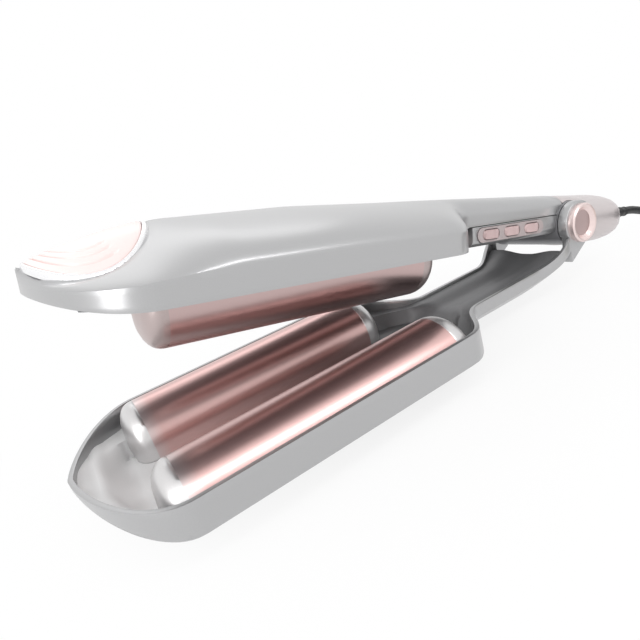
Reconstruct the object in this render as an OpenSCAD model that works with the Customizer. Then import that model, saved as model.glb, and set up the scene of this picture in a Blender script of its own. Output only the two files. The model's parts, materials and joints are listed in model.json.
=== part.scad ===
// Hair waver with two barrels in the lower arm and one in the upper arm.
// X runs along the arms towards the cord, Y across them and Z up.
// The arms are drawn shut around the hinge axis, and the upper one is then swung open.

/* [Barrels] */
// Diameter of a barrel
barrel_d = 25; // [22:0.5:26]
// Length of a barrel between its end caps
barrel_l = 80; // [70:1:84]
// Distance between the centre lines of the lower barrels
barrel_pitch = 46.2; // [45:0.2:46.2]
// Space between the barrels when the arms are shut
hair_gap = 0.7; // [0.6:0.1:2]
// Wall of a barrel
barrel_wall = 1.5; // [1:0.1:2.5]
// How far a front cap stands out from its barrel
cap_l = 6.5; // [5:0.5:8]
// How far a rear cap stands out from its barrel
rear_cap_l = 8; // [6:0.5:8]
// How much nearer to the hinge the upper barrel lies
upper_barrel_shift = 12; // [4:1:14]

/* [Heads] */
// Width of both heads
head_w = 75; // [75:1:84]
// Distance from the tip of the lower arm to the hinge
lower_reach = 185; // [180:1:200]
// Distance from the tip of the upper arm to the hinge
upper_reach = 180; // [176:1:196]
// Length of the rounded nose
nose_l = 23; // [18:1:28]
// Length over which a head narrows to its handle
neck_l = 29; // [20:1:32]
// Height of the lower head's rim
lower_rim_z = 19; // [17:0.5:21]
// Height of the lower barrels' centre line
barrel_z = 10; // [9:0.5:11]
// Height of the upper head's rim with the arms shut
upper_rim_z = 24.5; // [23:0.5:26]
// Height of the upper head's top with the arms shut
upper_top_z = 41.7; // [39:0.5:45]
// Wall of the housings
wall = 1.3; // [1.1:0.1:1.3]

/* [Handles] */
// Width of both handles
handle_w = 29; // [27:0.5:30]
// Height of the lower handle's rim
lower_handle_z = 14; // [12:0.5:15]
// Height of the lower handle's underside
lower_under_z = 4.5; // [3:0.5:6]
// Height of the seam along the upper handle
seam_z = 29.2; // [28:0.2:30]
// Height of the upper handle's underside
grip_under_z = 22; // [21:0.5:23]
// Fall of the upper arm's top line towards the hinge, per millimetre
top_fall = 0.05; // [0.04:0.001:0.08]

/* [Hinge] */
// Height of the hinge axis
hinge_z = 25.4; // [25:0.1:26]
// Diameter of the hinge pin
pin_d = 6; // [5:0.5:7]
// Diameter of the hinge ears and the hinge sleeve
ear_d = 16.4; // [15:0.2:17]
// Thickness of a hinge ear
ear_t = 3.5; // [3:0.1:5]
// Diameter of the round cover on each side of the hinge
ring_d = 14.2; // [13:0.2:15]
// Length of the housing behind the hinge
rear_l = 38; // [34:1:60]
// Angle between the arms when they are open
open_angle = 12; // [8:0.5:14]

/* [Thumb pad] */
// Length of the pad along the arm
pad_l = 27; // [22:1:28]
// Width of the pad
pad_w = 42; // [36:0.5:44]
// Slope of the nose under the pad, in degrees
pad_slope = 26.5; // [24:0.5:30]
// Width of the rim around the pad
pad_rim = 1.6; // [1.2:0.1:2.2]
// How far the pad's side edges fall below its middle
pad_bow = 3.2; // [2:0.1:3.6]

/* [Buttons] */
// Length of a button
button_l = 7.6; // [6:0.2:8.4]
// Height of a button
button_h = 3; // [2.6:0.1:3.2]
// Distance from one button to the next
button_pitch = 10.4; // [10:0.1:11.4]
// How far a button stands out of its strip
button_out = 1.1; // [0.8:0.1:1.6]
// How far a button can be pressed in
button_travel = 0.7; // [0.4:0.1:0.8]

/* [Cord] */
// Diameter of the cord
cord_d = 3.6; // [3.2:0.1:3.8]
// Length of the strain relief
relief_l = 24; // [20:1:40]
// Turns in each layer of the put-away cord
layer_turns = 3.125; // [2.125:0.5:4.125]
// Radius of the innermost turn
coil_r = 14.6; // [14:0.2:20]

/* [Hidden] */
$fn = 64;

// Clearances
fit = 0.15;      // between pieces that seat in each other
run = 0.3;       // around pieces that move or get hot
pin_run = 0.05;  // around the pin in the sleeve that turns on it

// Places along the arms, from the hinge axis
barrel_r = barrel_d / 2;
barrel_x1 = -lower_reach + 22;
barrel_x2 = barrel_x1 + barrel_l;
upper_x1 = barrel_x1 + upper_barrel_shift;
neck_x = barrel_x2 + 1.5;
neck_end = neck_x + neck_l;
flare_x = -22;
shell_end = -7;
grip_end = -4.5;
grip_start = neck_end + 1;
hinge_x = (lower_reach - rear_l * cos(open_angle)) / 2;

// Places across and up
seat_z = barrel_z + 2.4;
floor_z = barrel_z - 3;
upper_z = barrel_z + sqrt(pow(barrel_d + hair_gap, 2) - pow(barrel_pitch / 2, 2));
cover_t = 2;
cover_z = upper_rim_z + 0.8;
ear_in = handle_w / 2 + 0.7;
ear_out = ear_in + ear_t;
sleeve_w = 2 * (ear_in - run);
rear_w = ear_out - 0.2;
rear_under_z = 15.4;

// Colours
silver = [0.72, 0.72, 0.73];
grey = [0.45, 0.45, 0.46];
rose = [0.80, 0.62, 0.60];
pink = [0.90, 0.74, 0.72];
black = [0.12, 0.12, 0.13];
steel = [0.80, 0.80, 0.82];
green = [0.15, 0.40, 0.25];

function smooth(t) = t <= 0 ? 0 : t >= 1 ? 1 : t * t * (3 - 2 * t);
function mix(a, b, t) = a + (b - a) * t;
function above(t) = max(t, 0);

// A point of a curve that leaves a towards b and arrives at c
function bend(a, b, c, t) = a * (1 - t) * (1 - t) + b * 2 * t * (1 - t) + c * t * t;

// A closed solid through sections with the same number of points
module loft(sections) {
    n = len(sections[0]);
    last = (len(sections) - 1) * n;
    polyhedron(
        points = [for (s = sections) each s],
        faces = concat(
            [[for (j = [n - 1:-1:0]) j]],
            [[for (j = [0:n - 1]) last + j]],
            [for (i = [0:len(sections) - 2]) for (j = [0:n - 1])
                [i * n + j, i * n + (j + 1) % n, (i + 1) * n + j]],
            [for (i = [0:len(sections) - 2]) for (j = [0:n - 1])
                [i * n + (j + 1) % n, (i + 1) * n + (j + 1) % n, (i + 1) * n + j]]));
}

// Both halves of a section, from the points of its half with positive Y
function both(half, x) = concat(
    [for (p = half) [x, p[0], p[1]]],
    [for (i = [len(half) - 1:-1:0]) [x, -half[i][0], half[i][1]]]);

// Half width of an arm along its length
function nose_share(t) = pow(1 - pow(1 - t, 2), 0.72);
function arm_w(x, tip) = x < tip + nose_l
    ? above(head_w / 2 * nose_share((x - tip) / nose_l) - 0.6) + 0.6
    : mix(head_w / 2, handle_w / 2, smooth((x - neck_x) / neck_l));

// Lower arm: half width, rim and underside
function lower_w(x) = arm_w(x, -lower_reach)
    + (ear_out - handle_w / 2) * smooth((x - flare_x) / (shell_end - 1 - flare_x));
function lower_rim(x) = mix(lower_rim_z, lower_handle_z, smooth((x - neck_x) / neck_l))
    + 0.035 * pow(above(x - flare_x), 2);
function lower_under(x) = (lower_rim_z - 2.5) * pow(above(1 - (x + lower_reach) / 21), 1.7)
    + lower_under_z * smooth((x - neck_x) / neck_l)
    + 0.018 * pow(above(x - flare_x + 4), 2);

nose_steps = [for (i = [0:9]) pow(i / 9, 1.5)];
room_x1 = barrel_x1 - cap_l - run;
rise_x = upper_x1 + barrel_l + rear_cap_l + run;
lower_x = concat(
    [for (t = nose_steps) if (-lower_reach + nose_l * t < room_x1 - 1) -lower_reach + nose_l * t],
    [room_x1, barrel_x1, mix(barrel_x1, neck_x, 0.5), neck_x],
    [for (i = [1:4]) mix(neck_x, rise_x, i / 4)],
    [for (i = [1:3]) mix(rise_x, neck_end, i / 3)],
    [mix(neck_end, flare_x, 0.5)],
    [for (i = [0:7]) mix(flare_x, shell_end, i / 7)]);

// Cross-section of the lower arm, drawn in by a wall on its sides and its floor
function lower_half(x, inset, raise) = let (
        w = max(lower_w(x) - inset, 0.3),
        top = lower_rim(x) + raise,
        under = lower_under(x) + inset,
        side = mix(lower_rim(x), under, 0.44))
    concat([[w, top]],
        [for (i = [0:6]) [bend(w, 0.64 * w, 0.25 * w, i / 6), bend(side, under, under, i / 6)]]);

module lower_body() {
    loft([for (x = lower_x) both(lower_half(x, 0, 0), x)]);
}

module lower_hollow() {
    inner_x = [for (x = lower_x) if (x > -lower_reach + 5) x];
    loft(concat(
        [for (x = inner_x) both(lower_half(x, wall, 1), x)],
        [both(lower_half(shell_end, wall, 1), shell_end + 1)]));
}

// Radius of an end cap, at a share of its length away from the barrel
function cap_radius(t) = barrel_r * pow(1 - pow(t, 2.5), 0.4);

module at_barrel(side) {
    translate([0, side * barrel_pitch / 2, 0]) children();
}

// Cuts a barrel's piece to its seat, which is lower on the side towards the middle
module on_seat(side) {
    edge = step_slope + fit;
    difference() {
        children();
        translate([-lower_reach, -head_w, floor_z - barrel_d])
            cube([lower_reach, 2 * head_w, barrel_d]);
        translate([-lower_reach, side > 0 ? -edge : edge - head_w, floor_z - barrel_d])
            cube([lower_reach, head_w, barrel_d + seat_z - floor_z]);
    }
}

module lower_shell() {
    color(silver) translate([hinge_x, 0, 0]) difference() {
        lower_body();
        lower_hollow();
    }
}

// Inner cover: it fills the shell up to a surface with a channel between the barrels and
// a seat under the outer half of each, and is dished in front of them and behind them
step_y = barrel_pitch / 2;
step_slope = 0.6;
function dish_rise(x) = x < room_x1 ? 1 - smooth((x + lower_reach - 6) / (room_x1 + lower_reach - 6))
    : smooth((x - rise_x) / 8);
function dish_half(x) = let (
        w = max(lower_w(x) - wall - fit, 0.3),
        side = lower_half(x, wall + fit, 0),
        seat = max(side[1][1] + 0.2, mix(seat_z, lower_rim(x) - 0.6, above(dish_rise(x) - 0.4))),
        low = max(side[6][1] + 1, mix(floor_z, seat - 1.5, dish_rise(x))),
        step = min(step_y, 0.7 * w),
        flat = step - step_slope)
    concat(
        [for (i = [0:3]) [flat * (i + 0.05) / 3.05, mix(low, seat, dish_rise(x) * pow(i / 4, 2))]],
        [[step, seat - 0.1 * dish_rise(x)], [w, seat]],
        [for (i = [1:7]) side[i]]);

module lower_cover() {
    cover_x = [for (x = lower_x) if (x > -lower_reach + 6 && x < shell_end - 1) x];
    color(grey) translate([hinge_x, 0, 0]) loft([for (x = cover_x) both(dish_half(x), x)]);
}

// A barrel tube along X from its front end
module tube(x1, z) {
    translate([x1, 0, z]) rotate([0, 90, 0]) difference() {
        cylinder(r = barrel_r, h = barrel_l);
        translate([0, 0, -1]) cylinder(r = barrel_r - barrel_wall, h = barrel_l + 2);
    }
}

// An end cap whose flat face is at x and whose crown points to the front if l is negative
module end_cap(x, z, l) {
    translate([x, 0, z]) rotate([0, l < 0 ? -90 : 90, 0]) rotate_extrude()
        polygon(concat([[0, 0]], [for (i = [0:8]) [cap_radius(i / 8), abs(l) * i / 8]]));
}

module heater(x1, z) {
    translate([x1 + 4, 0, z]) rotate([0, 90, 0])
        cylinder(r = barrel_r - barrel_wall - run, h = barrel_l - 8);
}

module lower_part(side, name) {
    translate([hinge_x, 0, 0]) at_barrel(side) on_seat(side) {
        if (name == "barrel") tube(barrel_x1, barrel_z);
        if (name == "front") end_cap(barrel_x1, barrel_z, -cap_l);
        if (name == "rear") end_cap(barrel_x2, barrel_z, rear_cap_l);
        if (name == "heater") heater(barrel_x1, barrel_z);
    }
}

module lower_barrel_left() { color(rose) lower_part(1, "barrel"); }
module lower_barrel_right() { color(rose) lower_part(-1, "barrel"); }
module lower_front_cap_left() { color(silver) lower_part(1, "front"); }
module lower_front_cap_right() { color(silver) lower_part(-1, "front"); }
module lower_rear_cap_left() { color(silver) lower_part(1, "rear"); }
module lower_rear_cap_right() { color(silver) lower_part(-1, "rear"); }
module lower_heater_left() { color(steel) lower_part(1, "heater"); }
module lower_heater_right() { color(steel) lower_part(-1, "heater"); }

// Hinge ear: a disc around the axis with a foot that meets the end of the lower shell
module hinge_ear(side) {
    color(silver) translate([hinge_x, side * (ear_in + ear_t / 2), 0]) rotate([90, 0, 0])
        translate([0, 0, -ear_t / 2]) difference() {
            union() {
                translate([0, hinge_z, 0]) cylinder(d = ear_d, h = ear_t);
                linear_extrude(ear_t) polygon([
                    [shell_end, lower_rim(shell_end)],
                    [shell_end, lower_under(shell_end) + wall],
                    [0.3 * ear_d, hinge_z - 0.4 * ear_d],
                    [0, hinge_z]]);
            }
            translate([0, hinge_z, -1]) cylinder(d = pin_d, h = ear_t + 2);
            translate([shell_end - ear_d, 0, -1])
                cube([ear_d, lower_rim(shell_end) + run, ear_t + 2]);
        }
}

module hinge_ear_left() { hinge_ear(1); }
module hinge_ear_right() { hinge_ear(-1); }

// Turns a solid on Z to lie along the hinge axis, pointing away from the middle
module on_hinge(side, y) {
    translate([hinge_x, side * y, hinge_z]) rotate([side > 0 ? -90 : 90, 0, 0]) children();
}

module hinge_pin() {
    color(steel) translate([hinge_x, ear_out, hinge_z]) rotate([90, 0, 0])
        cylinder(d = pin_d, h = 2 * ear_out);
}

// Round cover: a rim around a cone that leads down to the disc
ring_t = 2.2;
disc_r = ring_d * 0.33;
disc_t = 0.8;
module hinge_ring(side) {
    color(silver) on_hinge(side, ear_out) rotate_extrude() polygon([
        [disc_r, 0], [ring_d / 2, 0], [ring_d / 2, ring_t - 0.5], [ring_d / 2 - 0.4, ring_t],
        [ring_d / 2 - 0.8, ring_t], [disc_r, disc_t]]);
}

module hinge_disc(side) {
    color(rose) on_hinge(side, ear_out) cylinder(r = disc_r, h = disc_t);
}

module hinge_ring_left() { hinge_ring(1); }
module hinge_ring_right() { hinge_ring(-1); }
module hinge_disc_left() { hinge_disc(1); }
module hinge_disc_right() { hinge_disc(-1); }

// Swings what is drawn shut into the open position
module swing() {
    translate([hinge_x, 0, hinge_z]) rotate([0, open_angle, 0]) translate([0, 0, -hinge_z])
        children();
}

// Upper arm: top line, rim and half width
nose_bend = 8;
nose_start = -upper_reach + pad_l + 7;
function nose_drop(d) = tan(pad_slope)
    * (d <= 0 ? 0 : d < nose_bend ? d * d / (2 * nose_bend) : d - nose_bend / 2);
function upper_top(x) = upper_top_z - top_fall * above(x - fall_x) - nose_drop(nose_start - x);
fall_x = neck_x - 30;
rim_turn = neck_end - 8;
function upper_rim(x) = mix(upper_rim_z, seam_z, smooth((x - rim_turn) / (neck_end - rim_turn)))
    + (upper_top(-upper_reach) - upper_rim_z - 2.4)
        * pow(above(1 - (x + upper_reach) / (nose_l + 1)), 2.2);

upper_x = concat(
    [for (t = nose_steps) -upper_reach + nose_l * t],
    [for (i = [1:5]) mix(-upper_reach + nose_l, neck_x, i / 6)],
    [for (i = [0:4]) mix(neck_x, rim_turn, i / 4)],
    [for (i = [1:4]) mix(rim_turn, neck_end, i / 4)],
    [mix(neck_end, grip_end, 0.5), grip_end]);

function upper_half(x, inset, drop) = let (
        w = max(arm_w(x, -upper_reach) - inset, 0.3),
        rim = upper_rim(x) - drop,
        top = upper_top(x) - inset,
        side = mix(upper_rim(x), top, 0.34),
        crown = 1 - smooth((x - neck_x) / neck_l),
        shoulder_w = mix(0.92, 0.74, crown) * w,
        shoulder_z = mix(top, mix(side, top, 0.55), crown))
    concat(
        [for (i = [6:-1:0]) [bend(w, shoulder_w, mix(0.3, 0.05, crown) * w, i / 6),
            bend(side, shoulder_z, top, i / 6)]],
        [[w, rim]]);

module upper_body(inset, drop, from) {
    loft([for (x = upper_x) if (x >= from) both(upper_half(x, inset, drop), x)]);
}

// Places what is drawn flat on the slope of the nose, with the pad's middle at the origin
module on_nose() {
    x = -upper_reach + pad_l / 2 + 1.5;
    translate([x, 0, upper_top(x)]) rotate([0, -pad_slope, 0]) children();
}

// An oval ring that follows the crown of the nose, and a solid between two such levels
function bow(y) = -pad_bow * pow(2 * above(abs(y) - 1) / pad_w, 2);
function oval_ring(l, w, z) = [for (a = [0:10:359]) let (y = -w / 2 * sin(a))
    [l / 2 * cos(a), y, z + bow(y)]];
ring_shares = [0.04, 0.35, 0.7, 1];

module oval(l, w, low, top) {
    loft(concat(
        [for (i = [0:3]) oval_ring(l * ring_shares[i], w * ring_shares[i], low)],
        [for (i = [3:-1:0]) oval_ring(l * ring_shares[i], w * ring_shares[i], top)]));
}

pad_depth = 1.4;
module upper_shell() {
    color(silver) swing() difference() {
        upper_body(0, 0, -upper_reach);
        upper_body(wall, 1, -upper_reach + 9);
        translate([grip_end - 1, -handle_w / 2 + wall, 0])
            cube([3, handle_w - 2 * wall, upper_top(grip_end) - wall]);
        sleeve_room();
        on_nose() oval(pad_l + 2 * pad_rim, pad_w + 2 * pad_rim, -2 * pad_depth, 12);
    }
}

// Inner cover of the upper head, which carries the barrel
module upper_cover() {
    cover_x = [for (x = upper_x) if (x > -upper_reach + 9 && x < neck_end) x];
    color(grey) swing() loft([for (x = cover_x) let (
            w = arm_w(x, -upper_reach) - wall - fit,
            z = min(upper_rim(x) + cover_z - upper_rim_z, seam_z + 0.2))
        both([[w - cover_t, z + cover_t], [w, z]], x)]);
}

module under_cover() {
    intersection() {
        children();
        translate([-upper_reach, -head_w, 0]) cube([upper_reach, 2 * head_w, cover_z]);
    }
}

module upper_barrel() { color(rose) swing() under_cover() tube(upper_x1, upper_z); }
module upper_front_cap() { color(silver) swing() under_cover() end_cap(upper_x1, upper_z, -cap_l); }
module upper_rear_cap() {
    color(silver) swing() under_cover() end_cap(upper_x1 + barrel_l, upper_z, rear_cap_l);
}
module upper_heater() { color(steel) swing() under_cover() heater(upper_x1, upper_z); }

// Thumb pad: a low crown with three U-shaped grooves near the tip
pad_crown = 1.6;
function crown_z(share) = 0.2 + pad_crown * sqrt(1 - share * share);

module groove(share) {
    l = pad_l / 2 * share;
    w = pad_w / 2 * share;
    z = crown_z(share) - 0.3;
    loft([for (a = [70:10:290]) let (
            out = [l * cos(a), w * sin(a)],
            in = [(l - 0.8) * cos(a), (w - 0.8) * sin(a)])
        [[out[0], out[1], z + 3], [in[0], in[1], z + 3],
            [in[0], in[1], z + bow(in[1])], [out[0], out[1], z + bow(out[1])]]]);
}

module thumb_pad() {
    l = pad_l - 2 * fit;
    w = pad_w - 2 * fit;
    color(pink) swing() on_nose() difference() {
        loft(concat(
            [for (share = ring_shares) oval_ring(l * share, w * share, 0.1 - pad_depth)],
            [for (a = [0, 15, 30, 45, 60, 75, 88])
                oval_ring(l * cos(a), w * cos(a), crown_z(cos(a)))]));
        for (share = [0.86, 0.7, 0.54]) groove(share);
    }
}

module thumb_pad_rim() {
    color(silver) swing() on_nose() difference() {
        oval(pad_l + 2 * pad_rim - 2 * fit, pad_w + 2 * pad_rim - 2 * fit, -pad_depth, 0.7);
        oval(pad_l, pad_w, -pad_depth - 1, 4);
    }
}

// Lower half of the upper handle
function grip_half(inset, top) = let (
        w = handle_w / 2 - inset,
        under = grip_under_z + inset)
    concat([[w, top]],
        [for (i = [0:5]) [bend(w, 0.95 * w, 0.6 * w, i / 5),
            bend(mix(seam_z, under, 0.68), under, under, i / 5)]]);

strip_l = 3 * button_pitch + 2.6;
strip_h = button_h + 2.2;
strip_x = grip_start + 2 + strip_l / 2;
strip_z = seam_z - 0.6 - strip_h / 2;

// Places what is drawn on Z on the button side of the handle, pointing outwards
module on_side(x, depth) {
    translate([x, -handle_w / 2 + depth, strip_z]) rotate([90, 0, 0]) children();
}

module slot(l, w, h) {
    linear_extrude(h) union() {
        square([l - w, w], center = true);
        for (end = [-1, 1]) translate([end * (l - w) / 2, 0]) circle(d = w);
    }
}

// Space around the hinge sleeve
module sleeve_room() {
    translate([0, sleeve_w, hinge_z]) rotate([90, 0, 0])
        cylinder(d = ear_d + 2 * fit, h = 2 * sleeve_w);
}

module grip_cover() {
    color(grey) swing() difference() {
        loft([both(grip_half(0, seam_z - 0.3), grip_start), both(grip_half(0, seam_z - 0.3), grip_end)]);
        loft([both(grip_half(wall, seam_z + 1), grip_start + wall),
            both(grip_half(wall, seam_z + 1), grip_end + 1)]);
        on_side(strip_x, wall + 3) slot(strip_l, strip_h, wall + 4);
        sleeve_room();
    }
}

function button_x(i) = strip_x + (i - 1) * button_pitch;

module button_strip() {
    color(pink) swing() difference() {
        on_side(strip_x, wall) slot(strip_l - 2 * fit, strip_h - 2 * fit, wall + 0.3);
        for (i = [0:2]) on_side(button_x(i), wall + 1)
            slot(button_l + 2 * run, button_h + 2 * run, wall + 3);
    }
}

// A crowned button with a flange that keeps it in its strip
flange_t = 0.8;
module button(i) {
    color(pink) swing() intersection() {
        union() {
            on_side(button_x(i), wall + fit + flange_t)
                slot(button_l, button_h, wall + fit + flange_t + button_out);
            on_side(button_x(i), wall + fit + flange_t)
                slot(button_l + 1.6, button_h + 1.6, flange_t);
        }
        translate([button_x(i), 2 * button_l - handle_w / 2 - button_out, strip_z])
            rotate([90, 0, 0]) cylinder(r = 4 * button_l, h = 4 * button_l, center = true);
        translate([button_x(i), 1.2 * button_l - handle_w / 2 - button_out, strip_z])
            cylinder(r = 1.2 * button_l, h = 4 * button_h, center = true);
    }
}

module button_plus() { button(0); }
module button_minus() { button(1); }
module button_power() { button(2); }

// Board with the three switches that the buttons press
board_t = 1.6;
switch_t = 2.5;
module control_board() {
    back = wall + 2 * fit + flange_t + button_travel + switch_t;
    color(green) swing() {
        translate([strip_x - strip_l / 2, -handle_w / 2 + back, grip_under_z + wall + fit])
            cube([strip_l, board_t, seam_z - grip_under_z - wall + 2]);
        for (i = [0:2]) on_side(button_x(i), back + 0.01) cylinder(d = 3, h = switch_t);
    }
}

module hinge_sleeve() {
    color(grey) swing() translate([0, sleeve_w / 2, hinge_z]) rotate([90, 0, 0]) difference() {
        cylinder(d = ear_d, h = sleeve_w);
        translate([0, 0, -1]) cylinder(r = pin_d / 2 + pin_run, h = sleeve_w + 2);
    }
}

// Rear housing: an oval body behind the hinge that closes in a round end
round_x = rear_l - 16;
rear_x = concat([for (i = [0:5]) mix(grip_end + 1, 12, i / 5)],
    [for (i = [0:8]) round_x + (rear_l - round_x) * sin(90 * i / 8)]);
function rear_share(x) =
    sqrt(max(1 - pow(above(x - round_x) / (rear_l - round_x + 0.3), 2.4), 0.001));
function rear_section(x) = let (
        w = mix(handle_w / 2, rear_w, smooth((x - grip_end - 1) / 13)),
        top = upper_top(x),
        under = mix(hinge_z + 1, rear_under_z, smooth((x - 2) / 9)),
        mid = (top + under) / 2,
        share = rear_share(x))
    [for (a = [0:15:359]) let (c = cos(a), s = sin(a))
        [x, -sign(c) * pow(abs(c), 0.75) * w * share,
            mid + sign(s) * pow(abs(s), 0.85) * (top - under) / 2 * share]];
relief_z = (upper_top(rear_l) + rear_under_z) / 2;
relief_x = rear_l - 4;

module rear_housing() {
    color(silver) swing() difference() {
        loft([for (x = rear_x) rear_section(x)]);
        sleeve_room();
        for (side = [-1, 1]) translate([0, side * (ear_in + ear_t / 2), hinge_z])
            rotate([90, 0, 0]) cylinder(d = ear_d + 1.2, h = ear_t + 2 * run + 0.2, center = true);
        translate([relief_x, 0, relief_z]) rotate([0, 90, 0])
            cylinder(d = relief_d + 2 * fit, h = 10);
    }
}

// Strain relief: a ribbed taper around the cord
relief_d = 5.2;
relief_tip = cord_d + 0.8;
ribs = 5;
module strain_relief() {
    step = relief_l / (2 * ribs);
    color(black) swing() translate([relief_x, 0, relief_z]) rotate([0, 90, 0]) rotate_extrude()
        polygon(concat([[0, 0], [relief_d / 2, 0], [relief_d / 2, 5]],
            [for (i = [0:2 * ribs - 1]) [mix(relief_d, relief_tip, i / (2 * ribs)) / 2
                - (i % 2 == 0 ? 0 : 0.35), 5 + step * (i + 0.5)]],
            [[relief_tip / 2, 5 + relief_l], [0, 5 + relief_l]]));
}

// Where the cord leaves the strain relief, and its direction there
exit_out = relief_x + 5 + relief_l;
exit_up = relief_z - hinge_z;
exit_way = [cos(open_angle), 0, -sin(open_angle)];
exit = [hinge_x, 0, hinge_z] + exit_out * exit_way
    + exit_up * [sin(open_angle), 0, cos(open_angle)];

// Coil: turns that spiral in and out again over four layers, and rise over the tie
layers = 4;
turn_step = cord_d + 0.7;
layer_h = cord_d + 0.5;
coil_out = coil_r + turn_step * layer_turns;
coil_x = 185;
coil_y = -34;
tie_t = 0.8;
tie_w = 9;
tie_gap = 0.2;
tie_angle = 90;
layer_angle = 360 * layer_turns;
turn_rings = 24;
coil_rings = layers * layer_turns * turn_rings;
function coil_radius(a) = let (k = floor(a / layer_angle), rest = a - k * layer_angle)
    k % 2 == 0 ? coil_out - turn_step * rest / 360 : coil_r + turn_step * rest / 360;
function climb(a, k) = min(max((a - k * layer_angle) / 180 + 0.5, 0), 1);
function coil_height(a) = cord_d / 2
    + layer_h * (climb(a, 1) + climb(a, 2) + climb(a, 3))
    + (tie_t + 2 * tie_gap) * pow(above(cos(a - tie_angle)), 6);
function coil_point(a) = [coil_x + coil_radius(a) * sin(a), coil_y + coil_radius(a) * cos(a),
    coil_height(a)];
coil_points = [for (i = [0:coil_rings]) coil_point((360 * i - 0.001) / turn_rings)];
coil_start = coil_points[0] - [cord_d, 0, 0];
coil_finish = coil_points[coil_rings] - [cord_d, 0, 0];

// Least space between the coil's turns, at their points
echo(coil_gap = min([for (i = [0:2:coil_rings]) for (j = [i + turn_rings - 6:coil_rings])
    norm(coil_points[i] - coil_points[j])]) - cord_d);

// The cord's free stretches, as points along them
run_route = [exit, exit + 8 * exit_way, [160, -1, 4], [168, -3, 2.4],
    coil_start - [8, 0, 0], coil_start - [4, 0, 0], coil_start];
end_route = [coil_finish, coil_finish - [4, 0, 0], [170, -62.6, 13], [162, -63.4, 11.4],
    [154, -64.4, 9.6], [146, -65.4, 8.4], [138, -66, 8], [130, -66, 8]];

function unit(v) = v / norm(v);
function way(path, i) = unit(path[min(i + 1, len(path) - 1)] - path[max(i - 1, 0)]);

// Points on smooth curves through a route
function curve(p, i, t) = let (
        a = p[max(i - 1, 0)],
        b = p[i],
        c = p[i + 1],
        d = p[min(i + 2, len(p) - 1)])
    b + t * (c - a) / 2 + t * t * (a - 2.5 * b + 2 * c - d / 2)
        + t * t * t * (1.5 * (b - c) + (d - a) / 2);
function curved(p, n) = concat(
    [for (i = [0:len(p) - 2]) for (k = [0:n - 1]) curve(p, i, k / n)], [p[len(p) - 1]]);

// A tube along a path that nowhere runs straight up
module sweep(path, d, sides) {
    loft([for (i = [0:len(path) - 1]) let (
            ahead = way(path, i),
            side = unit(cross([0, 0, 1], ahead)),
            up = cross(ahead, side))
        [for (j = [0:sides - 1]) let (a = -360 * (j + 0.5) / sides)
            path[i] + d / 2 * (side * cos(a) + up * sin(a))]]);
}

module cord_run() { color(black) sweep(curved(run_route, 2), cord_d, 8); }
module cord_end() { color(black) sweep(curved(end_route, 2), cord_d, 8); }
module cord_coil() { color(black) sweep(concat([coil_start], coil_points, [coil_finish]), cord_d, 6); }

// Band around the coil's turns
module cord_tie() {
    low = sqrt(pow(coil_r - cord_d / 2, 2) - pow(tie_w / 2, 2)) - tie_gap;
    high = coil_out + cord_d / 2 + tie_gap;
    top = cord_d + (layers - 1) * layer_h + tie_t + 3 * tie_gap;
    color(black) translate([coil_x, coil_y, 0]) rotate([90, 0, 90 - tie_angle])
        translate([0, 0, -tie_w / 2]) linear_extrude(tie_w) difference() {
            translate([low - tie_t, 0]) square([high - low + 2 * tie_t, top + tie_t]);
            translate([low, tie_t]) square([high - low, top - tie_t]);
        }
}

// Plug: a tapered body that lies flat, with two blades
plug = end_route[len(end_route) - 1];
plug_l = 30;
plug_w = 24;
plug_h = 2 * plug[2];
blade_gap = 12.7;
blade = [17, 6.3, 1.5];
module plug_body() {
    color(black) difference() {
        loft([for (t = [0:0.2:1]) let (
                w = mix(relief_tip + 2, plug_w, smooth(t * 1.3)) / 2,
                h = mix(relief_tip + 2, plug_h, smooth(t * 1.3)) / 2)
            [for (a = [0:20:359]) let (c = cos(a), s = sin(a))
                [plug[0] - plug_l * t, plug[1] + sign(c) * pow(abs(c), 0.7) * w,
                    plug[2] + sign(s) * pow(abs(s), 0.7) * h]]]);
        for (side = [-1, 1]) blade_at(side) translate([0, -fit, -fit])
            cube([blade[0], blade[2] + 2 * fit, blade[1] + 2 * fit]);
    }
}

module blade_at(side) {
    translate([plug[0] - plug_l - blade[0] + 6, plug[1] + (side * blade_gap - blade[2]) / 2,
        plug[2] - blade[1] / 2]) children();
}

module plug_blade(side) {
    color(steel) blade_at(side) cube([blade[0], blade[2], blade[1]]);
}

module plug_blade_left() { plug_blade(1); }
module plug_blade_right() { plug_blade(-1); }

lower_shell();
lower_cover();
lower_barrel_left();
lower_barrel_right();
lower_front_cap_left();
lower_front_cap_right();
lower_rear_cap_left();
lower_rear_cap_right();
lower_heater_left();
lower_heater_right();
hinge_ear_left();
hinge_ear_right();
hinge_pin();
hinge_ring_left();
hinge_ring_right();
hinge_disc_left();
hinge_disc_right();
upper_shell();
upper_cover();
upper_barrel();
upper_front_cap();
upper_rear_cap();
upper_heater();
thumb_pad();
thumb_pad_rim();
grip_cover();
button_strip();
control_board();
hinge_sleeve();
rear_housing();
button_plus();
button_minus();
button_power();
strain_relief();
cord_run();
cord_coil();
cord_end();
cord_tie();
plug_body();
plug_blade_left();
plug_blade_right();
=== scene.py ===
import json
import math
import bmesh
import bpy
from mathutils import Matrix, Vector


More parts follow.
